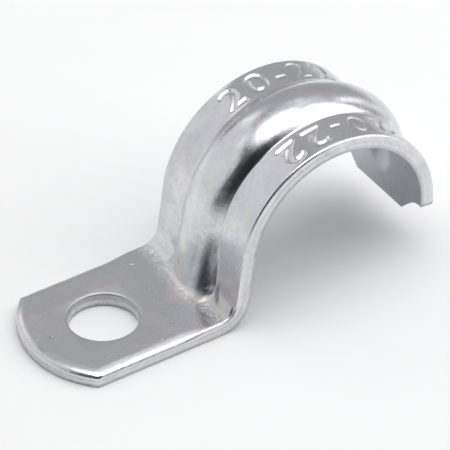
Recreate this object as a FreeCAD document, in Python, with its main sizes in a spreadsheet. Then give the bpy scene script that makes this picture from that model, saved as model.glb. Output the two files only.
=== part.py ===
import FreeCAD, Part
import math
import os
import Sketcher

# A conduit strap with one screw hole, pressed from one strip of sheet steel.
# Millimetres, +Z up. The origin is the middle of the screw hole on the underside of the foot,
# and the conduit lies along Y, on the +X side of the foot. The sketches measure x from the
# conduit's axis, and the body's placement then moves the strap to its origin.

doc = FreeCAD.newDocument("ConduitStrap")
Vector = FreeCAD.Vector

drivingSizes = [
    ("strap_width", 16.4, "width of the strip, along the conduit"),
    ("sheet_gauge", 1.7, "thickness of the sheet"),
    ("saddle_radius", 10.9, "inside radius of the saddle, for a conduit of 21.3 mm"),
    ("saddle_height", 7.4, "conduit axis above the underside of the foot"),
    ("leg_lean", 8.3, "lean of the leg from upright, in degrees"),
    ("bend_hollow_radius", 2.0, "bend from foot to leg, on its hollow side"),
    ("bend_round_radius", 3.8, "bend from foot to leg, on its round side"),
    ("foot_reach", 31.1, "conduit axis to the corners of the foot"),
    ("foot_end_radius", 11.4, "round end of the foot"),
    ("hole_reach", 25.4, "conduit axis to the screw hole"),
    ("hole_width", 7.9, "diameter of the screw hole"),
    ("rib_rise", 1.35, "crest of the rib above the outside of the saddle"),
    ("rib_round", 5.2, "radius across the rib"),
    ("rib_bury", 0.85, "depth of the rib's root below the outside of the saddle"),
    ("rib_lean", 12.0, "lean of the rib's crest along the leg, in degrees"),
    ("rib_start", 0.8, "height of the rib's lower end, as a share of the gauge"),
    ("rib_fade_angle", 40.0, "angle above level where the rib starts to fade, in degrees"),
    ("rib_fade_drop", 1.0, "end of the rib below the conduit axis"),
    ("rib_fold", 0.6, "radius of the fold round the rib"),
    ("groove_fold", 0.4, "radius of the fold round the groove inside the rib"),
    ("tongue_width", 8.7, "width of the tongue at the free end"),
    ("tongue_drop", 3.5, "end of the tongue below the conduit axis"),
    ("shoulder_drop", 1.1, "shoulders beside the tongue below the conduit axis"),
    ("edge_roll", 0.35, "rounding that the punch leaves on the outer edges"),
    ("hole_roll", 0.5, "rounding at the mouth of the screw hole"),
    ("cut_reach", 1.0, "how far a cutting outline reaches past the strip"),
]

sheet = doc.addObject("Spreadsheet::Sheet", "Sizes")
for row, (alias, value, meaning) in enumerate(drivingSizes, start=1):
    sheet.set("A%d" % row, meaning)
    sheet.set("B%d" % row, str(value))
    sheet.setAlias("B%d" % row, alias)
doc.recompute()


def size(alias):
    return float(sheet.get(alias))


body = doc.addObject("PartDesign::Body", "StrapBody")
body.Label = "conduit_strap"
body.Placement = FreeCAD.Placement(Vector(size("hole_reach"), 0, 0), FreeCAD.Rotation())
body.setExpression("Placement.Base.x", "Sizes.hole_reach")

# Point numbers and axis numbers that sketch constraints use.
START, END, CENTRE = range(1, 4)
X_AXIS, Y_AXIS = -1, -2


# Helpers for sketches and features

def newSketch(name, role):
    planes = [feature for feature in body.Origin.OriginFeatures if feature.Role == role]
    sketch = body.newObject("Sketcher::SketchObject", name)
    sketch.AttachmentSupport = [(planes[0], "")]
    sketch.MapMode = "FlatFace"
    return sketch


def constrain(sketch, kind, *args, expression=None):
    index = sketch.addConstraint(Sketcher.Constraint(kind, *args))
    if expression:
        sketch.setExpression("Constraints[%d]" % index, expression)


def addLine(sketch, start, end):
    return sketch.addGeometry(Part.LineSegment(start, end), False)


def addArc(sketch, centre, radius, startDegrees, endDegrees):
    circle = Part.Circle(centre, Vector(0, 0, 1), radius)
    arc = Part.ArcOfCircle(circle, math.radians(startDegrees), math.radians(endDegrees))
    return sketch.addGeometry(arc, False)


def addChain(sketch, corners):
    lines = []
    for start, end in zip(corners, corners[1:]):
        lines.append(addLine(sketch, start, end))
    for first, second in zip(lines, lines[1:]):
        constrain(sketch, "Coincident", first, END, second, START)
    return lines


def pointAt(centre, radius, degrees):
    angle = math.radians(degrees)
    return Vector(centre.x + radius * math.cos(angle), centre.y + radius * math.sin(angle), 0)


# x, at a given height, of the leaning line that touches a circle about the conduit's axis.
def touchingLineX(radius, height, leanDegrees):
    lean = math.radians(leanDegrees)
    drop = size("saddle_height") - height
    return -(radius + drop * math.sin(lean)) / math.cos(lean)


# Recompute, and make sure that the feature added or removed material as it should.
def finishFeature(feature, grows):
    before = feature.BaseFeature.Shape.Volume if feature.BaseFeature else 0.0
    doc.recompute()
    gain = feature.Shape.Volume - before
    if (gain > 0) != grows or abs(gain) < 0.01:
        raise ValueError("%s changed the volume by %.3f mm3" % (feature.Name, gain))
    print("%-12s %+9.2f mm3" % (feature.Name, gain))


def cutBothWays(name, sketch):
    pocket = body.newObject("PartDesign::Pocket", name)
    pocket.Profile = sketch
    pocket.Type = "ThroughAll"
    pocket.Midplane = True
    finishFeature(pocket, grows=False)


def filletEdges(name, pickEdges, radiusAlias, grows):
    base = body.Tip
    fillet = body.newObject("PartDesign::Fillet", name)
    fillet.Base = (base, ["Edge%d" % number for number in pickEdges(base.Shape)])
    fillet.setExpression("Radius", "Sizes." + radiusAlias)
    finishFeature(fillet, grows)


# The bent strip, seen from the side: foot, bend, leg, saddle and free end

def bendStart(saddleSide, height, bendRadius):
    lean = size("leg_lean")
    return touchingLineX(saddleSide, height, lean) - bendRadius * math.tan(math.radians(45 - lean / 2))


def stripProfile():
    sketch = newSketch("StripProfile", "XZ_Plane")
    gauge = size("sheet_gauge")
    inner = size("saddle_radius")
    outer = inner + gauge
    lean = size("leg_lean")
    axis = Vector(0, size("saddle_height"), 0)
    roundRadius = size("bend_round_radius")
    hollowRadius = size("bend_hollow_radius")
    roundCentre = Vector(bendStart(inner, 0, roundRadius), roundRadius, 0)
    hollowCentre = Vector(bendStart(outer, gauge, hollowRadius), gauge + hollowRadius, 0)
    tipX = -size("foot_reach") - size("foot_end_radius")
    endZ = axis.y - size("tongue_drop")

    underside = addLine(sketch, Vector(tipX, 0, 0), Vector(roundCentre.x, 0, 0))
    roundBend = addArc(sketch, roundCentre, roundRadius, -90, -lean)
    innerLeg = addLine(sketch, pointAt(roundCentre, roundRadius, -lean), pointAt(axis, inner, 180 - lean))
    innerArch = addArc(sketch, axis, inner, 0, 180 - lean)
    innerEnd = addLine(sketch, Vector(inner, axis.y, 0), Vector(inner, endZ, 0))
    tongueEnd = addLine(sketch, Vector(inner, endZ, 0), Vector(outer, endZ, 0))
    outerEnd = addLine(sketch, Vector(outer, endZ, 0), Vector(outer, axis.y, 0))
    outerArch = addArc(sketch, axis, outer, 0, 180 - lean)
    outerLeg = addLine(sketch, pointAt(axis, outer, 180 - lean), pointAt(hollowCentre, hollowRadius, -lean))
    hollowBend = addArc(sketch, hollowCentre, hollowRadius, -90, -lean)
    footTop = addLine(sketch, Vector(hollowCentre.x, gauge, 0), Vector(tipX, gauge, 0))
    footEnd = addLine(sketch, Vector(tipX, gauge, 0), Vector(tipX, 0, 0))

    constrain(sketch, "Tangent", underside, END, roundBend, START)
    constrain(sketch, "Tangent", roundBend, END, innerLeg, START)
    constrain(sketch, "Tangent", innerLeg, END, innerArch, END)
    constrain(sketch, "Tangent", innerArch, START, innerEnd, START)
    constrain(sketch, "Coincident", innerEnd, END, tongueEnd, START)
    constrain(sketch, "Coincident", tongueEnd, END, outerEnd, START)
    constrain(sketch, "Tangent", outerEnd, END, outerArch, START)
    constrain(sketch, "Tangent", outerArch, END, outerLeg, START)
    constrain(sketch, "Tangent", outerLeg, END, hollowBend, END)
    constrain(sketch, "Tangent", hollowBend, START, footTop, START)
    constrain(sketch, "Coincident", footTop, END, footEnd, START)
    constrain(sketch, "Coincident", footEnd, END, underside, START)

    for line in (underside, footTop, tongueEnd):
        constrain(sketch, "Horizontal", line)
    for line in (footEnd, innerEnd, outerEnd):
        constrain(sketch, "Vertical", line)
    constrain(sketch, "Parallel", innerLeg, outerLeg)
    constrain(sketch, "PointOnObject", underside, START, X_AXIS)
    constrain(sketch, "PointOnObject", innerArch, CENTRE, Y_AXIS)
    constrain(sketch, "Coincident", innerArch, CENTRE, outerArch, CENTRE)

    constrain(sketch, "DistanceY", innerArch, CENTRE, axis.y, expression="Sizes.saddle_height")
    constrain(sketch, "Radius", innerArch, inner, expression="Sizes.saddle_radius")
    constrain(sketch, "Radius", outerArch, outer, expression="Sizes.saddle_radius + Sizes.sheet_gauge")
    constrain(sketch, "Radius", roundBend, roundRadius, expression="Sizes.bend_round_radius")
    constrain(sketch, "Radius", hollowBend, hollowRadius, expression="Sizes.bend_hollow_radius")
    constrain(sketch, "DistanceY", footEnd, END, footEnd, START, gauge, expression="Sizes.sheet_gauge")
    constrain(sketch, "Angle", innerLeg, math.radians(90 - lean), expression="90deg - Sizes.leg_lean * 1deg")
    constrain(sketch, "DistanceX", footEnd, END, tipX,
              expression="-Sizes.foot_reach - Sizes.foot_end_radius")
    constrain(sketch, "DistanceY", tongueEnd, START, endZ,
              expression="Sizes.saddle_height - Sizes.tongue_drop")
    return sketch


# The blank's outline: round foot end, screw hole, and the tongue at the free end

def footEndOutline():
    sketch = newSketch("FootEndOutline", "XY_Plane")
    half = size("strap_width") / 2
    radius = size("foot_end_radius")
    cornerX = -size("foot_reach")
    centre = Vector(cornerX + math.sqrt(radius ** 2 - half ** 2), 0, 0)
    spread = math.degrees(math.asin(half / radius))
    farX = cornerX - radius - size("cut_reach")
    farY = half + size("cut_reach")

    arc = addArc(sketch, centre, radius, 180 - spread, 180 + spread)
    corners = [Vector(cornerX, -half, 0), Vector(cornerX, -farY, 0), Vector(farX, -farY, 0),
               Vector(farX, farY, 0), Vector(cornerX, farY, 0), Vector(cornerX, half, 0)]
    lowSide, lowRun, farSide, highRun, highSide = addChain(sketch, corners)
    constrain(sketch, "Coincident", arc, END, lowSide, START)
    constrain(sketch, "Coincident", highSide, END, arc, START)
    constrain(sketch, "Vertical", lowSide)
    constrain(sketch, "Vertical", highSide)
    constrain(sketch, "Horizontal", lowRun)
    constrain(sketch, "Horizontal", highRun)
    constrain(sketch, "Symmetric", arc, START, arc, END, X_AXIS)
    constrain(sketch, "Symmetric", farSide, START, farSide, END, X_AXIS)
    constrain(sketch, "Radius", arc, radius, expression="Sizes.foot_end_radius")
    constrain(sketch, "DistanceX", arc, START, cornerX, expression="-Sizes.foot_reach")
    constrain(sketch, "DistanceY", arc, START, half, expression="Sizes.strap_width / 2")
    constrain(sketch, "DistanceY", farSide, END, farY, expression="Sizes.strap_width / 2 + Sizes.cut_reach")
    constrain(sketch, "DistanceX", farSide, END, farX,
              expression="-Sizes.foot_reach - Sizes.foot_end_radius - Sizes.cut_reach")
    return sketch


def holeOutline():
    sketch = newSketch("HoleOutline", "XY_Plane")
    centre = Vector(-size("hole_reach"), 0, 0)
    hole = sketch.addGeometry(Part.Circle(centre, Vector(0, 0, 1), size("hole_width") / 2), False)
    constrain(sketch, "PointOnObject", hole, CENTRE, X_AXIS)
    constrain(sketch, "DistanceX", hole, CENTRE, centre.x, expression="-Sizes.hole_reach")
    constrain(sketch, "Diameter", hole, size("hole_width"), expression="Sizes.hole_width")
    return sketch


# Each corner of the free end is cut off at 45 degrees, down to a shoulder beside the tongue.
def addShoulder(sketch, side, sign):
    half = size("tongue_width") / 2
    step = size("tongue_drop") - size("shoulder_drop")
    endZ = size("saddle_height") - size("tongue_drop")
    lowZ = endZ - size("cut_reach")
    farY = size("strap_width") / 2 + size("cut_reach")
    corners = [Vector(side * half, lowZ, 0), Vector(side * half, endZ, 0),
               Vector(side * (half + step), endZ + step, 0), Vector(side * farY, endZ + step, 0),
               Vector(side * farY, lowZ, 0), Vector(side * half, lowZ, 0)]
    root, slope, shoulder, farSide, floor = addChain(sketch, corners)
    constrain(sketch, "Coincident", floor, END, root, START)
    constrain(sketch, "Vertical", root)
    constrain(sketch, "Horizontal", shoulder)
    constrain(sketch, "Vertical", farSide)
    constrain(sketch, "Horizontal", floor)
    constrain(sketch, "DistanceX", slope, START, side * half, expression=sign + "Sizes.tongue_width / 2")
    constrain(sketch, "DistanceY", slope, START, endZ, expression="Sizes.saddle_height - Sizes.tongue_drop")
    constrain(sketch, "DistanceX", slope, END, side * (half + step),
              expression=sign + "(Sizes.tongue_width / 2 + Sizes.tongue_drop - Sizes.shoulder_drop)")
    constrain(sketch, "DistanceY", slope, END, endZ + step,
              expression="Sizes.saddle_height - Sizes.shoulder_drop")
    constrain(sketch, "DistanceX", farSide, END, side * farY,
              expression=sign + "(Sizes.strap_width / 2 + Sizes.cut_reach)")
    constrain(sketch, "DistanceY", farSide, END, lowZ,
              expression="Sizes.saddle_height - Sizes.tongue_drop - Sizes.cut_reach")


def cutShoulders():
    sketch = newSketch("ShoulderOutline", "YZ_Plane")
    addShoulder(sketch, 1, "")
    addShoulder(sketch, -1, "-")
    pocket = body.newObject("PartDesign::Pocket", "Shoulders")
    pocket.Profile = sketch
    pocket.Type = "ThroughAll"
    pocket.Reversed = True
    finishFeature(pocket, grows=False)


# Rolled edges: the punch rounds every edge of the blank's outer face, and leaves the inner ones

def touchesOuterFace(point):
    gauge = size("sheet_gauge")
    outer = size("saddle_radius") + gauge
    lean = math.radians(size("leg_lean"))
    hollowRadius = size("bend_hollow_radius")
    bendX = bendStart(outer, gauge, hollowRadius)
    rise = point.z - size("saddle_height")
    if point.x < bendX:
        miss = point.z - gauge
    elif point.x > 0:
        miss = (math.hypot(point.x, rise) if rise > 0 else point.x) - outer
    elif rise > outer * math.sin(lean):
        miss = math.hypot(point.x, rise) - outer
    else:
        legMiss = -point.x * math.cos(lean) + rise * math.sin(lean) - outer
        bendMiss = math.hypot(point.x - bendX, point.z - gauge - hollowRadius) - hollowRadius
        miss = min(abs(legMiss), abs(bendMiss))
    return abs(miss) < 0.01


def outerEdges(shape, closed):
    numbers = []
    for number, edge in enumerate(shape.Edges, start=1):
        middle = edge.valueAt((edge.FirstParameter + edge.LastParameter) / 2)
        across = abs(edge.BoundBox.YLength - size("strap_width")) < 0.01 and edge.BoundBox.XLength < 0.01
        if touchesOuterFace(middle) and edge.isClosed() == closed and not across:
            numbers.append(number)
    return numbers


# The rib, and the groove inside it, are a round hump swept along the line of its crest: up the
# leg, round the saddle, and on a smaller arc that runs out near the free end. The groove's
# line is one gauge further in, and starts below the foot so that it opens at the bend.

def ribStart(inset):
    return size("rib_start") * size("sheet_gauge") if inset == 0 else -size("cut_reach")


def ribStartText(inset):
    return "Sizes.rib_start * Sizes.sheet_gauge" if inset == 0 else "-Sizes.cut_reach"


def insetText(inset):
    return "" if inset == 0 else " - Sizes.sheet_gauge"


def ribSection(name, inset):
    sketch = newSketch(name, "XY_Plane")
    radius = size("rib_round") - inset
    depth = size("rib_rise") + size("rib_bury")
    crest = size("saddle_radius") + size("sheet_gauge") + size("rib_rise") - inset
    startX = touchingLineX(crest, ribStart(inset), size("rib_lean"))
    square = FreeCAD.Rotation(Vector(0, 1, 0), size("rib_lean"))
    sketch.AttachmentOffset = FreeCAD.Placement(Vector(startX, 0, ribStart(inset)), square)
    crestText = "Sizes.saddle_radius + Sizes.sheet_gauge + Sizes.rib_rise" + insetText(inset)
    dropText = "(Sizes.saddle_height - %s) * sin(Sizes.rib_lean)" % ribStartText(inset)
    startText = "-(%s + %s) / cos(Sizes.rib_lean)" % (crestText, dropText)
    sketch.setExpression("AttachmentOffset.Base.x", startText)
    sketch.setExpression("AttachmentOffset.Base.z", ribStartText(inset))
    sketch.setExpression("AttachmentOffset.Rotation.Angle", "Sizes.rib_lean")

    spread = math.degrees(math.acos(1 - depth / radius))
    halfRoot = radius * math.sin(math.radians(spread))
    hump = addArc(sketch, Vector(radius, 0, 0), radius, 180 - spread, 180 + spread)
    root = addLine(sketch, Vector(depth, -halfRoot, 0), Vector(depth, halfRoot, 0))
    constrain(sketch, "Coincident", hump, END, root, START)
    constrain(sketch, "Coincident", root, END, hump, START)
    constrain(sketch, "Vertical", root)
    constrain(sketch, "PointOnObject", hump, CENTRE, X_AXIS)
    constrain(sketch, "DistanceX", hump, CENTRE, radius, expression="Sizes.rib_round" + insetText(inset))
    constrain(sketch, "Radius", hump, radius, expression="Sizes.rib_round" + insetText(inset))
    constrain(sketch, "DistanceX", root, START, depth, expression="Sizes.rib_rise + Sizes.rib_bury")
    return sketch


def ribPath(name, inset):
    sketch = newSketch(name, "XZ_Plane")
    axis = Vector(0, size("saddle_height"), 0)
    surface = size("saddle_radius") + size("sheet_gauge") - inset
    crest = surface + size("rib_rise")
    lean = size("rib_lean")
    fade = size("rib_fade_angle")
    start = Vector(touchingLineX(crest, ribStart(inset), lean), ribStart(inset), 0)
    turn = pointAt(axis, crest, fade)
    end = Vector(surface, axis.y - size("rib_fade_drop"), 0)
    # The fading arc touches the crest's circle at the turn and passes through the end.
    outward = pointAt(Vector(0, 0, 0), 1, fade)
    chord = end.sub(turn)
    fadeRadius = -chord.Length ** 2 / (2 * chord.dot(outward))
    fadeCentre = turn.sub(outward * fadeRadius)
    endAngle = math.degrees(math.atan2(end.y - fadeCentre.y, end.x - fadeCentre.x))

    leg = addLine(sketch, start, pointAt(axis, crest, 180 - lean))
    arch = addArc(sketch, axis, crest, fade, 180 - lean)
    fading = addArc(sketch, fadeCentre, fadeRadius, endAngle, fade)
    spoke = sketch.addGeometry(Part.LineSegment(axis, turn), True)

    constrain(sketch, "Tangent", leg, END, arch, END)
    constrain(sketch, "Tangent", arch, START, fading, END)
    constrain(sketch, "Coincident", spoke, START, arch, CENTRE)
    constrain(sketch, "Coincident", spoke, END, arch, START)
    constrain(sketch, "PointOnObject", arch, CENTRE, Y_AXIS)
    constrain(sketch, "DistanceY", arch, CENTRE, axis.y, expression="Sizes.saddle_height")
    constrain(sketch, "Radius", arch, crest,
              expression="Sizes.saddle_radius + Sizes.sheet_gauge + Sizes.rib_rise" + insetText(inset))
    constrain(sketch, "Angle", leg, math.radians(90 - lean), expression="90deg - Sizes.rib_lean * 1deg")
    constrain(sketch, "Angle", spoke, math.radians(fade), expression="Sizes.rib_fade_angle * 1deg")
    constrain(sketch, "DistanceY", leg, START, start.y, expression=ribStartText(inset))
    constrain(sketch, "DistanceX", fading, START, end.x,
              expression="Sizes.saddle_radius + Sizes.sheet_gauge" + insetText(inset))
    constrain(sketch, "DistanceY", fading, START, end.y,
              expression="Sizes.saddle_height - Sizes.rib_fade_drop")
    return sketch


def sweepRib(kind, name, inset):
    section = ribSection(name + "Section", inset)
    path = ribPath(name + "Path", inset)
    sweep = body.newObject("PartDesign::" + kind, name)
    sweep.Profile = section
    sweep.Spine = path
    finishFeature(sweep, grows=kind == "AdditivePipe")


# Where the rib runs out, its root stands inside the saddle. The conduit's side of the free
# end is cut back to the saddle's own surface.
def conduitOutline():
    sketch = newSketch("ConduitOutline", "XZ_Plane")
    radius = size("saddle_radius")
    axis = Vector(0, size("saddle_height"), 0)
    lowZ = axis.y - size("tongue_drop") - size("cut_reach")
    arc = addArc(sketch, axis, radius, 0, 90)
    corners = [Vector(radius, axis.y, 0), Vector(radius, lowZ, 0), Vector(0, lowZ, 0),
               Vector(0, axis.y + radius, 0)]
    endSide, floor, middleSide = addChain(sketch, corners)
    constrain(sketch, "Coincident", middleSide, END, arc, END)
    constrain(sketch, "Tangent", arc, START, endSide, START)
    constrain(sketch, "Vertical", endSide)
    constrain(sketch, "Horizontal", floor)
    constrain(sketch, "Vertical", middleSide)
    constrain(sketch, "PointOnObject", arc, CENTRE, Y_AXIS)
    constrain(sketch, "PointOnObject", arc, END, Y_AXIS)
    constrain(sketch, "DistanceY", arc, CENTRE, axis.y, expression="Sizes.saddle_height")
    constrain(sketch, "Radius", arc, radius, expression="Sizes.saddle_radius")
    constrain(sketch, "DistanceY", floor, START, lowZ,
              expression="Sizes.saddle_height - Sizes.tongue_drop - Sizes.cut_reach")
    return sketch


def isHump(face, radius):
    surface = face.Surface
    if surface.TypeId == "Part::GeomToroid":
        return abs(surface.MinorRadius - radius) < 0.001
    return surface.TypeId == "Part::GeomCylinder" and abs(surface.Radius - radius) < 0.001


# The edges where the hump of a given radius meets the strip.
def foldEdges(shape, radius):
    numbers = []
    for number, edge in enumerate(shape.Edges, start=1):
        sides = [face for face in shape.Faces if any(edge.isSame(other) for other in face.Edges)]
        humps = [face for face in sides if isHump(face, radius)]
        if len(sides) == 2 and len(humps) == 1:
            numbers.append(number)
    return numbers


# Build the strap

strip = body.newObject("PartDesign::Pad", "Strip")
strip.Profile = stripProfile()
strip.Midplane = True
strip.setExpression("Length", "Sizes.strap_width")
finishFeature(strip, grows=True)

cutBothWays("FootEnd", footEndOutline())
cutBothWays("ScrewHole", holeOutline())
cutShoulders()
filletEdges("HoleRoll", lambda shape: outerEdges(shape, True), "hole_roll", grows=False)
filletEdges("EdgeRoll", lambda shape: outerEdges(shape, False), "edge_roll", grows=False)

sweepRib("AdditivePipe", "Rib", 0)
cutBothWays("ConduitSide", conduitOutline())
ribRound = size("rib_round")
filletEdges("RibFold", lambda shape: foldEdges(shape, ribRound), "rib_fold", grows=True)
grooveRound = size("rib_round") - size("sheet_gauge")
sweepRib("SubtractivePipe", "Groove", size("sheet_gauge"))
filletEdges("GrooveFold", lambda shape: foldEdges(shape, grooveRound), "groove_fold", grows=False)

# Check every object, and write the strap

doc.recompute()
for item in doc.Objects:
    if "Invalid" in item.State or "Error" in item.State:
        raise ValueError(item.Name + " failed: " + ", ".join(item.State))
strap = body.Shape
if strap.isNull() or not strap.isValid() or len(strap.Solids) != 1:
    raise ValueError(body.Label + " is not one valid solid")

os.makedirs("parts", exist_ok=True)
strap.exportStep("parts/" + body.Label + ".step")
print("%s: %.1f mm3, %d faces" % (body.Label, strap.Volume, len(strap.Faces)))
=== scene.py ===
import math

import bmesh
import bpy
from mathutils import Matrix, Vector, noise
from mathutils.bvhtree import BVHTree


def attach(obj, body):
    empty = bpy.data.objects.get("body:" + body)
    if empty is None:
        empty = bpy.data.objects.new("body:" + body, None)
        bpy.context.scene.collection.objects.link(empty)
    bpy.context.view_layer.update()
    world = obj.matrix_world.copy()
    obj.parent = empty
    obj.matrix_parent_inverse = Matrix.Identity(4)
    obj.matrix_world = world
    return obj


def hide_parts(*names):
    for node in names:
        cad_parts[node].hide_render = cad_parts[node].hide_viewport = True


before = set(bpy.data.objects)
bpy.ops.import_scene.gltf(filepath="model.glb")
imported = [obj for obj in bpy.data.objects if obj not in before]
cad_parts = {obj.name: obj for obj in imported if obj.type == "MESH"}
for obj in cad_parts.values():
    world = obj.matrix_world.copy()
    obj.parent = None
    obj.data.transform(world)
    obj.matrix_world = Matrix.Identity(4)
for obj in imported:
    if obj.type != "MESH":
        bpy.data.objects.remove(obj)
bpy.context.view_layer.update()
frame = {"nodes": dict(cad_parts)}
print("frame loaded with", ", ".join(frame["nodes"]))

# One strap, made as the press makes it: a flat blank is cut and punched, its edges are rolled,
# the numbers are stamped, and then the rib is raised and the blank is bent.

strap = {  # millimetres and degrees, measured from the middle of the screw hole
    "width": 16.4,
    "gauge": 1.7,
    "axisReach": 25.4,  # from the screw hole to the conduit's axis
    "axisHeight": 7.4,
    "saddleRadius": 10.9,
    "legLean": 8.3,
    "bendHollow": 2.0,  # above the foot
    "bendRound": 3.8,  # under it
    "footTip": -9.18,
    "footEndRadius": 11.4,
    "holeRadius": 3.95,
    "edgeRoll": 0.30,  # how round the upper edges are, and the lower ones
    "burr": 0.06,
    "tongueHalf": 4.35,
    "tongueDrop": 3.5,
    "shoulderHalf": 6.75,
    "shoulderDrop": 1.1,
    "ribRise": 1.35,
    "ribRound": 5.2,
    "ribLean": 12.0,  # the lean of the rib's crest on the leg
    "ribBendHollow": 0.6,
    "ribBendRound": 1.8,
    "ribFadeAngle": 40.0,  # the rib starts to fade this far above the axis's level
    "ribFadeDrop": 1.0,  # and has gone this far below it
    "ribSquare": 0.18,  # 0 for a round rib, towards 1 for a steeper front side
    "ribSquareEnd": 1.25,  # where the steepening stops, in half widths of the rib
    "foldOuter": 0.09,  # how soft the folds beside the rib are: front, back and inside
    "foldBack": 0.55,
    "foldInner": 0.12,
    "bendEase": 1.15,  # above 1, the bends start and end more gently
    "bendBlend": 0.25,  # how softly the rib's tighter bend runs into the flat one
    "slideFrom": 5.0,  # from here to the bend, the lanes stretch to meet it
    "shearLevel": 0.95,  # height of the step that the punch leaves on the cut faces
    "shearStep": 0.05,
    "shearSlope": 1.5,  # the step's height, in its depths
    "holeLedge": 0.03,  # in the hole, the lower part stands proud
    "tear": 0.7,  # how uneven the torn part is
    "tearScales": (1.3, 4.1),  # coarse and fine
    "tearFine": 0.6,  # the fine one's share
    "footRoll": 0.35,  # how far, and how wide, the foot's rim is drawn down
    "footRollWidth": 1.25,
    "footRollEnd": 5,  # the drawn rim fades out from here, before the bend
    "footRollFade": 4,
    "shoulderEase": 0.9,  # how softly the slope runs into the tongue's side edge
}
numbers = {  # the stamped size, in millimetres and degrees round the saddle
    "text": "20-22",
    "height": 2.9,
    "length": 14.5,
    "middleAngle": 84.0,
    "offset": 5.85,  # from the strap's middle line
    "spacing": 1.25,
    "thin": -0.012,  # makes the strokes thinner, as a share of the font's size
    "depth": 0.15,
    "soft": 0.17,  # how far round a stroke the metal is drawn down
}
wearAndShade = {  # marks in the outer face, and the places where shade is painted on it, in millimetres on the flat blank
    "dents": (  # place along and across, length, width, degrees, depth
        (-6.62, 0.30, 0.66, 0.17, 88, 0.07),
        (-6.42, 0.02, 0.52, 0.17, 8, 0.07),
        (13.60, 1.40, 0.50, 0.22, 60, 0.12),
        (11.95, -4.45, 1.30, 0.60, 15, 0.045),
        (11.45, -4.95, 1.00, 0.50, 40, 0.045),
        (11.45, -7.75, 1.10, 0.34, 20, 0.11),
        (-3.1, -6.3, 0.5, 0.10, 40, 0.04),
        (7.4, 5.9, 0.7, 0.10, 150, 0.04),
        (3.2, -6.9, 0.4, 0.12, 20, 0.04),
    ),
    "dentReach": 1.3,  # where a dent, and the darkening in it, have faded out, in half lengths
    "darkReach": 1.5,
    "darkByDepth": 14,  # how dark a dent is made, by its depth
    "dentDrop": 0.45,  # how far down a rolled edge the dents still reach
    "dentMesh": 0.12,  # mesh lines longer than this are divided round a dent
    "dentRound": 0.7,  # how far round a dent, in its lengths
    "paintedShades": (  # painted shade, standing for the dark reflections beside the rib's front fold and on the leg's front: along and across, half length, half width, strength
        (26.6, -3.15, 6.2, 0.62, 0.75),
        (14.0, -3.30, 5.0, 1.85, 0.74),
        (13.2, -6.40, 4.4, 3.60, 0.26),
    ),
    "shadeEdge": 1.8,  # higher for a painted shade with a harder edge
    "shadeFold": -3.48,  # the fold in front of the rib, which no painted shade crosses
    "shadeFoldWidth": 0.3,
    "bendPast": 0.7,  # the bend's frosted plating: its middle past the bend's start,
    "bendHalf": 0.4,  # half its length,
    "bendFade": 1.5,  # and how far it fades out
    "archShare": 0.3,  # the fainter frosting where the saddle starts, and its length
    "archReach": 3,
    "archFade": 1.3,
    "rimShare": 0.12,  # and on the rolled edges
    "holeReach": 0.6,  # how far round the hole the painted shade and the rougher plating reach, and how they fade
    "holeFade": 0.3,
}
grid = {  # how the mesh lies on the flat blank
    "holePatch": 4.6,  # half of the square round the hole that is meshed again
    "endKeep": 0.95,  # lines this near an end keep their distance from it
    "endRow": 0.5,  # the row along every edge
    "tongue": 2,  # the tongue's lines start this far before the axis
    "bend": 1.5,  # and the bend's lines this far before it
    "numbers": 0.8,  # the close lines go this far past the numbers
    "folds": ((2.2, 8), (3.1, 5), (3.9, 8)),  # close lanes beside the rib
}
slack = 0.01  # lengths this close count as the same
millimetre = 0.001  # in metres
outerRadius = strap["saddleRadius"] + strap["gauge"]


def smoothStep(share):
    share = min(max(share, 0.0), 1.0)
    return share * share * (3 - 2 * share)


def softMax(first, second, blend):
    gap = abs(first - second)
    top = max(first, second)
    return top + (blend - gap) ** 2 / (4 * blend) if gap < blend else top


def cornerReach(radius, lean, level):
    # how far from the axis a leaning line, tangent to the saddle, comes down to a level
    lean = math.radians(lean)
    fall = strap["axisHeight"] + radius * math.sin(lean) - level
    return radius * math.cos(lean) + math.tan(lean) * fall


def bendReach(radius, lean):
    # from the corner of a bend to where it starts
    return strap["bendEase"] * radius * math.tan((math.pi / 2 - lean) / 2)


def flatStations():
    # lengths along the flat blank, on its outer face
    lean = math.radians(strap["legLean"])
    corner = strap["axisReach"] - cornerReach(outerRadius, strap["legLean"], strap["gauge"])
    cut = bendReach(strap["bendHollow"], lean)
    bend = corner - cut
    leg = bend + strap["bendHollow"] * (math.pi / 2 - lean)
    rise = strap["axisHeight"] + outerRadius * math.sin(lean) - strap["gauge"]
    arch = leg + rise / math.cos(lean) - cut
    axis = arch + outerRadius * (math.pi - lean)
    return {
        "slide": strap["slideFrom"],
        "bend": bend,
        "leg": leg,
        "arch": arch,
        "numbers": axis - outerRadius * math.radians(numbers["middleAngle"]),
        "axis": axis,
    }


station = flatStations()


def makeSide(radius, level, bend, ribBend, ribRound, fold, foldBack):
    # one face of the plate, outer or inner, as the numbers that shape it
    fade = math.radians(strap["ribFadeAngle"])
    crest = outerRadius + strap["ribRise"]
    drop = strap["ribFadeDrop"]
    reach = (crest**2 - outerRadius**2 - drop**2) / (
        2 * (crest - outerRadius * math.cos(fade) + drop * math.sin(fade))
    )
    return {
        "radius": radius,
        "level": level,
        "bend": bend,
        "ribBend": ribBend,
        "ribRound": ribRound,
        "fold": fold,
        "foldBack": foldBack,
        "fade": fade,
        "fadeReach": reach,
        "fadeRadius": radius + strap["ribRise"] - reach,
        "flatCorner": cornerReach(radius, strap["legLean"], level),
        "ribCorner": cornerReach(radius + strap["ribRise"], strap["ribLean"], level),
    }


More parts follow.
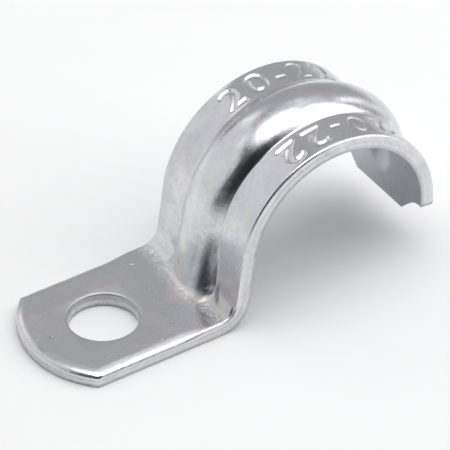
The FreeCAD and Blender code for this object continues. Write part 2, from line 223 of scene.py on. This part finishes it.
outer = makeSide(
    radius=outerRadius,
    level=strap["gauge"],
    bend=strap["bendHollow"],
    ribBend=strap["ribBendHollow"],
    ribRound=strap["ribRound"],
    fold=strap["foldOuter"],
    foldBack=strap["foldBack"],
)
inner = makeSide(
    radius=strap["saddleRadius"],
    level=0.0,
    bend=strap["bendRound"],
    ribBend=strap["ribBendRound"],
    ribRound=strap["ribRound"] - strap["gauge"],
    fold=strap["foldInner"],
    foldBack=strap["foldInner"],
)


def ribDip(ribRound, y):
    # how far the rib's crest has fallen at a distance from the middle line
    dip = ribRound - math.sqrt(max(ribRound**2 - y**2, 0.0))
    half = math.sqrt(ribRound**2 - (ribRound - strap["ribRise"]) ** 2)
    share = min(abs(y) / half, strap["ribSquareEnd"])
    square = strap["ribRise"] * share**4
    steeper = strap["ribSquare"] if y < 0 else 0.0
    return dip + steeper * (square - strap["ribRise"] * share**2)


def lane(side, y):
    # where one line along the strap bends, by its distance from the middle line
    ribRound = side["ribRound"]
    fold = side["fold"] if y < 0 else side["foldBack"]
    dip = ribDip(ribRound, y)
    share = softMax(0.0, 1 - dip / strap["ribRise"], strap["bendBlend"])
    radius = side["radius"] + softMax(0.0, strap["ribRise"] - dip, fold)
    ribCorner = side["ribCorner"] - dip / math.cos(math.radians(strap["ribLean"]))
    corner = softMax(side["flatCorner"], ribCorner, fold)
    fall = strap["axisHeight"] - side["level"]
    lean = math.acos(radius / math.hypot(corner, fall)) - math.atan2(fall, corner)
    bend = side["bend"] + (side["ribBend"] - side["bend"]) * share
    cut = bendReach(bend, lean)
    low = side["level"] - strap["axisHeight"]
    return {
        "dip": dip,
        "fold": fold,
        "lean": lean,
        "start": Vector((-corner - cut, low)),
        "corner": Vector((-corner, low)),
        "leg": Vector((cut * math.sin(lean) - corner, low + cut * math.cos(lean))),
        "arch": Vector((-radius * math.cos(lean), radius * math.sin(lean))),
    }


def facePoint(side, line, s):
    # a point of one face, from its place along the blank; x and z start at the conduit's axis
    if s <= station["bend"]:
        slide = max(0.0, (s - station["slide"]) / (station["bend"] - station["slide"]))
        miss = line["start"].x + strap["axisReach"] - station["bend"]
        return Vector((s - strap["axisReach"] + slide * miss, line["start"].y))
    if s <= station["leg"]:
        share = (s - station["bend"]) / (station["leg"] - station["bend"])
        first = line["start"].lerp(line["corner"], share)
        return first.lerp(line["corner"].lerp(line["leg"], share), share)
    if s <= station["arch"]:
        share = (s - station["leg"]) / (station["arch"] - station["leg"])
        return line["leg"].lerp(line["arch"], share)
    fade, reach, fadeRadius = side["fade"], side["fadeReach"], side["fadeRadius"]
    if s <= station["axis"]:
        share = (s - station["arch"]) / (station["axis"] - station["arch"])
        angle = (math.pi - line["lean"]) * (1 - share)
        crest = side["radius"] + strap["ribRise"]
        if angle < fade:
            across = reach * math.sin(angle - fade)
            crest = reach * math.cos(angle - fade) + math.sqrt(fadeRadius**2 - across**2)
        radius = softMax(side["radius"], crest - line["dip"], line["fold"])
        return Vector((radius * math.cos(angle), radius * math.sin(angle)))
    z = station["axis"] - s
    below = math.sqrt(fadeRadius**2 - (z - reach * math.sin(fade)) ** 2)
    crest = reach * math.cos(fade) + below
    return Vector((softMax(side["radius"], crest - line["dip"], line["fold"]), z))


def spread(breaks):
    # places along a line: each stretch is (end, number of steps)
    places = [breaks[0]]
    for end, steps in breaks[1:]:
        start = places[-1]
        places += [start + (end - start) * (i + 1) / steps for i in range(steps)]
    return places


def rollFlat(bm):
    # an even grid, its lines moved to where the shape needs them and close under the numbers
    half = strap["width"] / 2
    tip = strap["footTip"]
    end = station["axis"] + strap["tongueDrop"]
    patch, keep, row = grid["holePatch"], grid["endKeep"], grid["endRow"]
    reach = numbers["length"] / 2 + grid["numbers"]
    halfLanes = spread(
        [
            0.0,
            *grid["folds"],
            (strap["tongueHalf"], 3),
            (patch, 2),
            (strap["shoulderHalf"], 16),
            (half - row, 7),
            (half, 1),
        ]
    )
    lanes = [-y for y in reversed(halfLanes[1:])] + halfLanes
    columns = spread(
        [
            tip,
            (tip + row, 1),
            (tip + keep, 3),
            (-patch, 6),
            (patch, 30),
            (station["bend"] - grid["bend"], 14),
            (station["bend"], 6),
            (station["leg"], 12),
            (station["arch"], 16),
            (station["numbers"] - reach, 22),
            (station["numbers"] + reach, 118),
            (station["axis"] - grid["tongue"], 26),
            (end - keep, 13),
            (end - row, 3),
            (end, 1),
        ]
    )
    across, along = len(lanes) - 1, len(columns) - 1
    bmesh.ops.create_grid(bm, x_segments=along, y_segments=across, size=0.5)
    for v in bm.verts:
        v.co.x = columns[round((v.co.x + 0.5) * along)]
        v.co.y = lanes[round((v.co.y + 0.5) * across)]


def cutEnds(bm):
    # the round foot end and the tongue with its sloping corners
    patch, keep = grid["holePatch"], grid["endKeep"]
    tip, endRadius = strap["footTip"], strap["footEndRadius"]
    start = station["axis"] - grid["tongue"]
    end = station["axis"] + strap["tongueDrop"]
    cornerWidth = strap["shoulderHalf"] - strap["tongueHalf"]
    slope = (strap["tongueDrop"] - strap["shoulderDrop"]) / cornerWidth
    for v in bm.verts:
        y = abs(v.co.y)
        if v.co.x < -patch:
            gain = endRadius - math.sqrt(endRadius**2 - y**2)
            share = min(1.0, (-patch - v.co.x) / (-patch - tip - keep))
            v.co.x += gain * share
        elif v.co.x > start:
            left = softMax(strap["shoulderHalf"] - y, 0.0, strap["shoulderEase"])
            past = max(cornerWidth - left, 0.0)
            share = min(1.0, (v.co.x - start) / (end - keep - start))
            v.co.x -= past * slope * share


def punchHole(bm):
    # a square patch comes out, and its rim, which is nearer than the others, is drawn in
    half = grid["holePatch"]
    patch = [f for f in bm.faces if max(map(abs, f.calc_center_median())) < half]
    bmesh.ops.delete(bm, geom=patch, context="FACES")
    boundary = [e for e in bm.edges if e.is_boundary]
    rim = [e for e in boundary if max(v.co.length for v in e.verts) < 1.5 * half]
    ring = bmesh.ops.extrude_edge_only(bm, edges=rim)["geom"]
    for v in ring:
        if isinstance(v, bmesh.types.BMVert):
            v.co = v.co.normalized() * strap["holeRadius"]


def thicken(bm):
    # the sheet gets its thickness, upwards
    plate = bmesh.ops.extrude_face_region(bm, geom=bm.faces[:])["geom"]
    top = [v for v in plate if isinstance(v, bmesh.types.BMVert)]
    bmesh.ops.translate(bm, vec=(0, 0, strap["gauge"]), verts=top)
    bmesh.ops.recalc_face_normals(bm, faces=bm.faces[:])


def isWall(face):
    return abs(face.normal.z) < 0.2  # upright, or nearly


def rimEdges(bm, level):
    # the sharp edges of the plate at one level, round the outside and round the hole
    flat = [e for e in bm.edges if all(abs(v.co.z - level) < slack for v in e.verts)]
    return [e for e in flat if sum(map(isWall, e.link_faces)) == 1]


def rollEdges(bm):
    for level, offset, segments in (
        (strap["gauge"], strap["edgeRoll"], 4),
        (0.0, strap["burr"], 2),
    ):
        bmesh.ops.bevel(
            bm,
            geom=rimEdges(bm, level),
            offset=offset,
            offset_type="OFFSET",
            segments=segments,
            profile=0.5,
            affect="EDGES",
            clamp_overlap=False,
            material=-1,
        )


def shearStep(bm):
    # the smooth upper part and the torn lower part of every cut face
    step = strap["shearStep"]
    for level in (strap["shearLevel"], strap["shearLevel"] - strap["shearSlope"] * step):
        walls = [f for f in bm.faces if isWall(f)]
        edges = {e for f in walls for e in f.edges}
        verts = {v for f in walls for v in f.verts}
        bmesh.ops.bisect_plane(
            bm, geom=[*verts, *edges, *walls], plane_co=(0, 0, level), plane_no=(0, 0, 1)
        )
    bm.normal_update()
    coarse, fine = strap["tearScales"]
    moves = []
    for v in bm.verts:
        walls = [f.normal for f in v.link_faces if isWall(f)]
        if walls and v.co.z < strap["shearLevel"] - step:
            inward = -sum(walls, Vector()).normalized()
            tear = noise.noise(v.co * coarse) + strap["tearFine"] * noise.noise(v.co * fine)
            inHole = v.co.xy.length < strap["holeRadius"] + strap["edgeRoll"]
            depth = -strap["holeLedge"] if inHole else step
            moves.append((v, inward * depth * (1 + strap["tear"] * tear)))
    for v, move in moves:
        v.co.x += move.x
        v.co.y += move.y


def refineDents(bm):
    # more mesh where a dent needs it
    for dent in wearAndShade["dents"]:
        place = Vector(dent[:2])
        reach = dent[2] * wearAndShade["dentRound"]
        near = []
        for e in bm.edges:
            flat = all(v.co.z > strap["gauge"] - slack for v in e.verts)
            middle = (e.verts[0].co.xy + e.verts[1].co.xy) / 2
            if flat and (middle - place).length < reach and e.calc_length() > wearAndShade["dentMesh"]:
                near.append(e)
        bmesh.ops.subdivide_edges(bm, edges=near, cuts=3, use_grid_fill=True)


def shearShare(v):
    # half for the smooth upper part of a cut face, all for the torn lower part
    if not any(map(isWall, v.link_faces)):
        return 0.0
    return 0.5 if v.co.z > strap["shearLevel"] - slack else 1.0


def workShare(place):
    # how far bending and rolling have frosted the plating
    if place.z <= strap["gauge"] / 2:
        return 0.0
    away = abs(place.x - station["bend"] - wearAndShade["bendPast"]) - wearAndShade["bendHalf"]
    share = smoothStep(1 - away / wearAndShade["bendFade"])
    if share < wearAndShade["archShare"]:
        away = abs(place.x - station["arch"]) / wearAndShade["archReach"]
        share = max(share, wearAndShade["archShare"] * smoothStep(wearAndShade["archFade"] - away))
    if place.z < strap["gauge"] - 2 * slack:
        share = max(share, wearAndShade["rimShare"])
    return share


# how dark the painted shade is here: the dark reflections beside the rib's front fold and on
# the leg's front
def paintedShadeShare(place):
    if place.z <= strap["gauge"] - slack:
        return 0.0
    share = 0.0
    onRib = smoothStep(0.5 + (place.y - wearAndShade["shadeFold"]) / wearAndShade["shadeFoldWidth"])
    for s, y, length, width, strength in wearAndShade["paintedShades"]:
        away = math.hypot((place.x - s) / length, (place.y - y) / width)
        strength *= onRib if y > wearAndShade["shadeFold"] else 1 - onRib
        share = max(share, strength * smoothStep(wearAndShade["shadeEdge"] * (1 - away)))
    return share


def noteBlank(bm):
    # what the finish needs to know, while the blank is still flat
    blank = bm.verts.layers.float_vector.new("blank")
    sheared = bm.verts.layers.float.new("sheared")
    inHole = bm.verts.layers.float.new("inHole")
    worked = bm.verts.layers.float.new("worked")
    paintedShade = bm.verts.layers.float.new("paintedShade")
    # the hole's painted shade and its rougher plating reach this far
    shadeAndDullRadius = strap["holeRadius"] + wearAndShade["holeReach"]
    for v in bm.verts:
        v[blank] = v.co * millimetre
        v[sheared] = shearShare(v)
        v[inHole] = smoothStep((shadeAndDullRadius - v.co.xy.length) / wearAndShade["holeFade"])
        v[worked] = workShare(v.co)
        v[paintedShade] = paintedShadeShare(v.co)


def drawRim(bm):
    # the foot's rim sinks towards its edge, as sheared plate does
    middle = Vector((strap["footTip"] + strap["footEndRadius"], 0))
    for v in bm.verts:
        depth = strap["gauge"] - v.co.z
        past = v.co.x - station["bend"] + strap["footRollEnd"]
        fade = 1 - smoothStep(past / strap["footRollFade"])
        if depth > strap["edgeRoll"] + slack or fade == 0:
            continue
        away = strap["width"] / 2 - abs(v.co.y)
        if v.co.x < 0:
            away = min(away, strap["footEndRadius"] - (v.co.xy - middle).length)
        share = max(0.0, 1 - away / strap["footRollWidth"])
        v.co.z -= strap["footRoll"] * share**2 * fade


def knock(bm):
    # small dents and pits in the outer face, made darker the deeper they are
    dentDarkness = bm.verts.layers.float.new("dentDarkness")
    top = [v for v in bm.verts if v.co.z > strap["gauge"] - wearAndShade["dentDrop"]]
    for s, y, length, width, angle, depth in wearAndShade["dents"]:
        darkness = min(1.0, depth * wearAndShade["darkByDepth"])
        turn = Matrix.Rotation(math.radians(-angle), 2)
        for v in top:
            away = v.co.xy - Vector((s, y))
            if away.length > length:
                continue
            away = turn @ away
            far = math.hypot(away.x / (length / 2), away.y / (width / 2))
            v.co.z -= depth * smoothStep(wearAndShade["dentReach"] - far)
            v[dentDarkness] = max(v[dentDarkness], smoothStep(wearAndShade["darkReach"] - far) * darkness)


def textShape():
    # the numbers in the built-in font, as flat polygons of the size that is asked for
    curve = bpy.data.curves.new("numbers", "FONT")
    curve.body = numbers["text"]
    curve.space_character = numbers["spacing"]
    curve.offset = numbers["thin"]
    letters = bpy.data.objects.new("numbers", curve)
    mesh = bpy.data.meshes.new_from_object(letters)
    corners = [Vector(v.co) for v in mesh.vertices]
    low = Vector(min(c[i] for c in corners) for i in range(3))
    high = Vector(max(c[i] for c in corners) for i in range(3))
    size = high - low
    points = []
    for c in corners:
        c = c - (low + high) / 2
        x = c.x * numbers["length"] / size.x
        points.append(Vector((x, c.y * numbers["height"] / size.y, 0)))
    faces = [tuple(p.vertices) for p in mesh.polygons]
    bpy.data.meshes.remove(mesh)
    bpy.data.objects.remove(letters)
    bpy.data.curves.remove(curve)
    return points, faces


def stampNumbers(bm):
    points, faces = textShape()
    middle, offset, soft = station["numbers"], numbers["offset"], numbers["soft"]
    reach = numbers["length"] / 2 + soft
    lowest = offset - numbers["height"] / 2 - soft
    top = [v for v in bm.verts if v.co.z > strap["gauge"] - slack]
    near = [v for v in top if abs(v.co.x - middle) < reach]
    for side in (1, -1):  # the front row reads from the other side
        place = [Vector((middle + side * p.x, side * (offset + p.y), 0)) for p in points]
        shape = BVHTree.FromPolygons(place, faces)
        for v in near:
            if v.co.y * side > lowest:
                away = shape.find_nearest(Vector((v.co.x, v.co.y, 0)))[3]
                v.co.z -= numbers["depth"] * smoothStep(1 - away / soft)


def bendStrap(bm):
    # the rib is raised and the blank is bent, one line along the strap after the other
    lanes = {}
    for v in bm.verts:
        y = round(v.co.y, 5)
        if y not in lanes:
            lanes[y] = lane(outer, y), lane(inner, y)
        top = facePoint(outer, lanes[y][0], v.co.x)
        low = facePoint(inner, lanes[y][1], v.co.x)
        point = low.lerp(top, v.co.z / strap["gauge"])
        v.co.x = point.x + strap["axisReach"]
        v.co.z = point.y + strap["axisHeight"]


def buildStrap():
    bm = bmesh.new()
    rollFlat(bm)
    cutEnds(bm)
    punchHole(bm)
    thicken(bm)
    rollEdges(bm)
    shearStep(bm)
    refineDents(bm)
    noteBlank(bm)
    print("blank cut:", len(bm.faces), "faces")
    drawRim(bm)
    stampNumbers(bm)
    knock(bm)
    print("numbers stamped:", numbers["text"])
    bendStrap(bm)
    bmesh.ops.scale(bm, vec=[millimetre] * 3, verts=bm.verts[:])
    for f in bm.faces:
        f.smooth = True
    mesh = bpy.data.meshes.new("strap")
    bm.to_mesh(mesh)
    bm.free()
    piece = bpy.data.objects.new("strap", mesh)
    bpy.context.scene.collection.objects.link(piece)
    piece.modifiers.new("evenShading", "WEIGHTED_NORMAL").keep_sharp = True
    print("strap bent")
    return piece


# Finish


class Wave:  # a socket that can be used in sums
    def __init__(self, kit, socket):
        self.kit = kit
        self.socket = socket

    def maths(self, operation, first, second):
        return self.kit.node("ShaderNodeMath", {"operation": operation}, {0: first, 1: second})

    def __add__(self, other):
        return self.maths("ADD", self, other)

    def __radd__(self, other):
        return self.maths("ADD", other, self)

    def __sub__(self, other):
        return self.maths("SUBTRACT", self, other)

    def __rsub__(self, other):
        return self.maths("SUBTRACT", other, self)

    def __mul__(self, other):
        return self.maths("MULTIPLY", self, other)

    def __rmul__(self, other):
        return self.maths("MULTIPLY", other, self)


class FinishKit:
    def __init__(self, name):
        self.material = bpy.data.materials.new(name)
        self.material.use_nodes = True
        self.tree = self.material.node_tree
        self.tree.nodes.clear()

    def node(self, kind, settings=None, sockets=None, output=0):
        made = self.tree.nodes.new(kind)
        for key, value in (settings or {}).items():
            setattr(made, key, value)
        usable = [s for s in made.inputs if s.enabled]
        for key, value in (sockets or {}).items():
            if isinstance(key, str):
                socket = next(s for s in usable if key in (s.identifier, s.name))
            else:
                socket = made.inputs[key]
            if isinstance(value, Wave):
                self.tree.links.new(value.socket, socket)
            else:
                socket.default_value = value
        outputs = [s for s in made.outputs if s.enabled]
        return Wave(self, outputs[output]) if outputs else None

    def attribute(self, name, output=2):
        return self.node("ShaderNodeAttribute", {"attribute_name": name}, output=output)

    def blend(self, factor, first, second):
        return self.node(
            "ShaderNodeMix",
            {"data_type": "RGBA", "blend_type": "MIX", "clamp_factor": True},
            {"Factor": factor, "A": first, "B": second},
        )

    def ramp(self, value, low, high):
        return self.node(
            "ShaderNodeMapRange",
            {"clamp": True, "interpolation_type": "SMOOTHSTEP"},
            {"Value": value, "From Min": low, "From Max": high},
        )

    def mottle(self, place, scale, detail, rough, skew=0.0):
        return self.node(
            "ShaderNodeTexNoise",
            {"noise_dimensions": "3D"},
            {
                "Vector": place,
                "Scale": scale,
                "Detail": detail,
                "Roughness": rough,
                "Distortion": skew,
            },
        )

    def patches(self, place, low, high, *pattern):
        return self.ramp(self.mottle(place, *pattern), low, high)


plating = {
    "light": (0.74, 0.75, 0.775, 1),
    "dull": (0.60, 0.61, 0.64, 1),
    "pink": (0.79, 0.70, 0.735, 1),
    "straw": (0.80, 0.77, 0.67, 1),
    "blue": (0.67, 0.72, 0.79, 1),
    "chip": (0.52, 0.52, 0.52, 1),
    "cut": (0.76, 0.76, 0.765, 1),
    # painted shade in the hole, on its rim and round its mouth
    "hole": (0.50, 0.50, 0.51, 1),
    # painted shade on the inner face
    "inside": (0.44, 0.47, 0.51, 1),
    # painted shade: the dark reflections beside the rib's front fold and on the leg's front
    "paintedShade": (0.13, 0.138, 0.16, 1),
    # the colour in the dents, darker the deeper they are
    "dentDark": (0.08, 0.08, 0.085, 1),
    "pinkShare": 0.7,  # how much of each stain shows
    "strawShare": 0.6,
    "blueShare": 0.3,
    "clouds": (0.35, 0.68, 260, 3, 0.55),  # from, to, then the noise: scale, detail, roughness
    "specks": (0.40, 0.70, 1500, 2, 0.6),
    "pinkStains": (0.52, 0.72, 180, 2, 0.5, 1.0),  # and its distortion
    "strawStains": (0.54, 0.74, 150, 2, 0.5, 1.0),
    "blueStains": (0.50, 0.70, 110, 2, 0.5, 1.0),
    "chips": (0.48, 0.72, 2600, 3, 0.7),
    "streaks": (3800, 3, 0.6),  # scale, detail, roughness
    "stretch": (0.12, 1, 1),  # the rolling marks run along the strip
    "grain": (7000, 2, 0.7),
    "gloss": 0.18,  # roughness of the clean plating
    "haze": 0.09,  # how much rougher the dull clouds are
    "insideFade": (0.0006, 0.0001),  # metres above the inner face, where its painted shade sets in
    "relief": 0.00002,  # metres
    "reliefStrength": 0.35,
}


def zincPlate():
    kit = FinishKit("zincPlate")
    place = kit.node("ShaderNodeTexCoord", output=3)
    blank = kit.attribute("blank", output=1)
    sheared = kit.attribute("sheared")
    inHole = kit.attribute("inHole")
    worked = kit.attribute("worked")
    paintedShade = kit.attribute("paintedShade")
    dentDarkness = kit.attribute("dentDarkness")
    level = kit.node("ShaderNodeSeparateXYZ", {}, {"Vector": blank}, output=2)
    # the inner face, for its painted shade and its rougher plating
    inside = kit.ramp(level, *plating["insideFade"])
    smoothCut = kit.ramp(sheared, 1.0, 0.5)
    clouds = kit.patches(place, *plating["clouds"])
    specks = kit.patches(place, *plating["specks"])
    pinkish = kit.patches(place, *plating["pinkStains"])
    strawish = kit.patches(blank, *plating["strawStains"])
    bluish = kit.patches(blank, *plating["blueStains"])
    chips = kit.patches(place, *plating["chips"])
    rolled = kit.node("ShaderNodeMapping", {}, {"Vector": blank, "Scale": plating["stretch"]})
    streaks = kit.mottle(rolled, *plating["streaks"])
    grain = kit.mottle(place, *plating["grain"])

    colour = kit.blend(clouds * 0.7 + specks * 0.3, plating["light"], plating["dull"])
    for share, layer in (  # what lies over it, and how much of each shows
        (pinkish * plating["pinkShare"], "pink"),
        (strawish * plating["strawShare"], "straw"),
        (bluish * plating["blueShare"], "blue"),
        (sheared * (0.8 - 0.5 * specks), "cut"),
        (sheared * chips * 0.5, "chip"),
        # painted shade on the hole's rim and upper wall, and round its mouth
        (inHole * smoothCut * 0.8, "hole"),
        # painted shade on the inner face
        (inside * (0.7 - 0.2 * pinkish), "inside"),
        # painted shade beside the rib's front fold and on the leg's front, streaked and grainy
        (paintedShade * (0.35 + 0.8 * streaks + 0.45 * grain), "paintedShade"),
        # darker in the dents, the deeper the darker
        (dentDarkness * (0.35 + 0.8 * grain), "dentDark"),
    ):
        colour = kit.blend(share, colour, plating[layer])

    roughness = plating["gloss"] + plating["haze"] * clouds + 0.06 * specks + 0.12 * sheared
    roughness = roughness + worked * (0.10 + 0.14 * specks) + 0.12 * inside + 0.3 * dentDarkness
    roughness = roughness + 0.2 * inHole
    height = 0.55 * streaks + 0.45 * grain + specks * (0.5 + 0.8 * sheared)
    height = height + chips * (5.0 * worked + 1.5 * sheared)
    relief = {"Strength": plating["reliefStrength"], "Distance": plating["relief"]}
    bump = kit.node("ShaderNodeBump", {}, {**relief, "Height": height})
    shader = kit.node(
        "ShaderNodeBsdfPrincipled",
        {},
        {"Base Color": colour, "Metallic": 1.0, "Roughness": roughness, "Normal": bump},
    )
    kit.node("ShaderNodeOutputMaterial", {}, {"Surface": shader})
    print("plating mixed:", len(kit.tree.nodes), "nodes")
    return kit.material


piece = buildStrap()
piece.data.materials.append(zincPlate())
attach(piece, "root")
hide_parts("conduit_strap")

# Floor, lights and camera

studio = {  # metres and degrees
    "floor": (0.93, 0.93, 0.93, 1),
    "floorHalf": 1.5,
    "floorDrop": 0.00002,  # just under the foot, so that the two never flicker
    "floorRough": 0.9,
    "world": (0.06, 0.062, 0.07, 1),
    "aim": (0.0147, 0.0, 0.011),
    "away": 0.6,  # from the aim to every lamp
    "lamps": (  # name, degrees round from +X towards +Y, degrees up, width, height, brightness
        ("rightFront", -36, 37, 0.56, 0.88, 1.8),
        ("overhead", -140, 86, 0.50, 0.50, 2.0),
        ("right", 8, 15, 0.16, 0.48, 1.05),
        ("backRight", 53, 28, 0.98, 0.64, 0.39),
        ("backLeft", 137, 26, 1.08, 0.66, 0.73),
        ("backTop", 95, 68, 0.72, 0.26, 0.50),
        ("topRight", 14, 60, 0.32, 0.32, 0.40),
    ),
    "lens": 410.86,  # millimetres, as the sensor's width is
    "sensor": 36,
    "cameraPlace": (-0.22172, -0.36986, 0.35756),
    "cameraRight": (0.83828, -0.54519, -0.00713),
    "cameraUp": (0.34433, 0.51922, 0.78221),
}


def layFloor():
    bm = bmesh.new()
    bmesh.ops.create_grid(bm, x_segments=1, y_segments=1, size=studio["floorHalf"])
    mesh = bpy.data.meshes.new("floor")
    bm.to_mesh(mesh)
    bm.free()
    floor = bpy.data.objects.new("floor", mesh)
    bpy.context.scene.collection.objects.link(floor)
    kit = FinishKit("floorPaper")
    paper = {"Base Color": studio["floor"], "Roughness": studio["floorRough"]}
    shader = kit.node("ShaderNodeBsdfPrincipled", {}, paper)
    kit.node("ShaderNodeOutputMaterial", {}, {"Surface": shader})
    mesh.materials.append(kit.material)
    floor.location.z = -studio["floorDrop"]


def hangLamps():
    world = bpy.data.worlds.new("studio")
    bpy.context.scene.world = world
    world.use_nodes = True
    world.node_tree.nodes["Background"].inputs["Color"].default_value = studio["world"]
    for name, around, up, width, height, brightness in studio["lamps"]:
        data = bpy.data.lights.new(name, "AREA")
        data.shape = "ELLIPSE" if name == "overhead" else "RECTANGLE"
        data.size, data.size_y = width, height
        data.energy = math.pi * width * height * brightness
        lamp = bpy.data.objects.new(name, data)
        tilt = Matrix.Rotation(math.radians(-up), 4, "Y")
        turn = Matrix.Rotation(math.radians(around), 4, "Z") @ tilt
        place = turn @ Vector((studio["away"], 0, 0))
        lamp.location = Vector(studio["aim"]) + place
        lamp.rotation_euler = (-place).to_track_quat("-Z", "Y").to_euler()
        bpy.context.scene.collection.objects.link(lamp)


def placeCamera():
    data = bpy.data.cameras.new("camera")
    data.sensor_width = studio["sensor"]
    data.lens = studio["lens"]
    data.clip_start = 0.01
    data.clip_end = 10
    camera = bpy.data.objects.new("camera", data)
    right, up = Vector(studio["cameraRight"]), Vector(studio["cameraUp"])
    turn = Matrix((right, up, right.cross(up))).transposed()
    camera.matrix_world = Matrix.Translation(studio["cameraPlace"]) @ turn.to_4x4()
    bpy.context.scene.collection.objects.link(camera)
    bpy.context.scene.camera = camera


layFloor()
hangLamps()
placeCamera()
bpy.context.scene.view_settings.view_transform = "Standard"
print("studio ready")
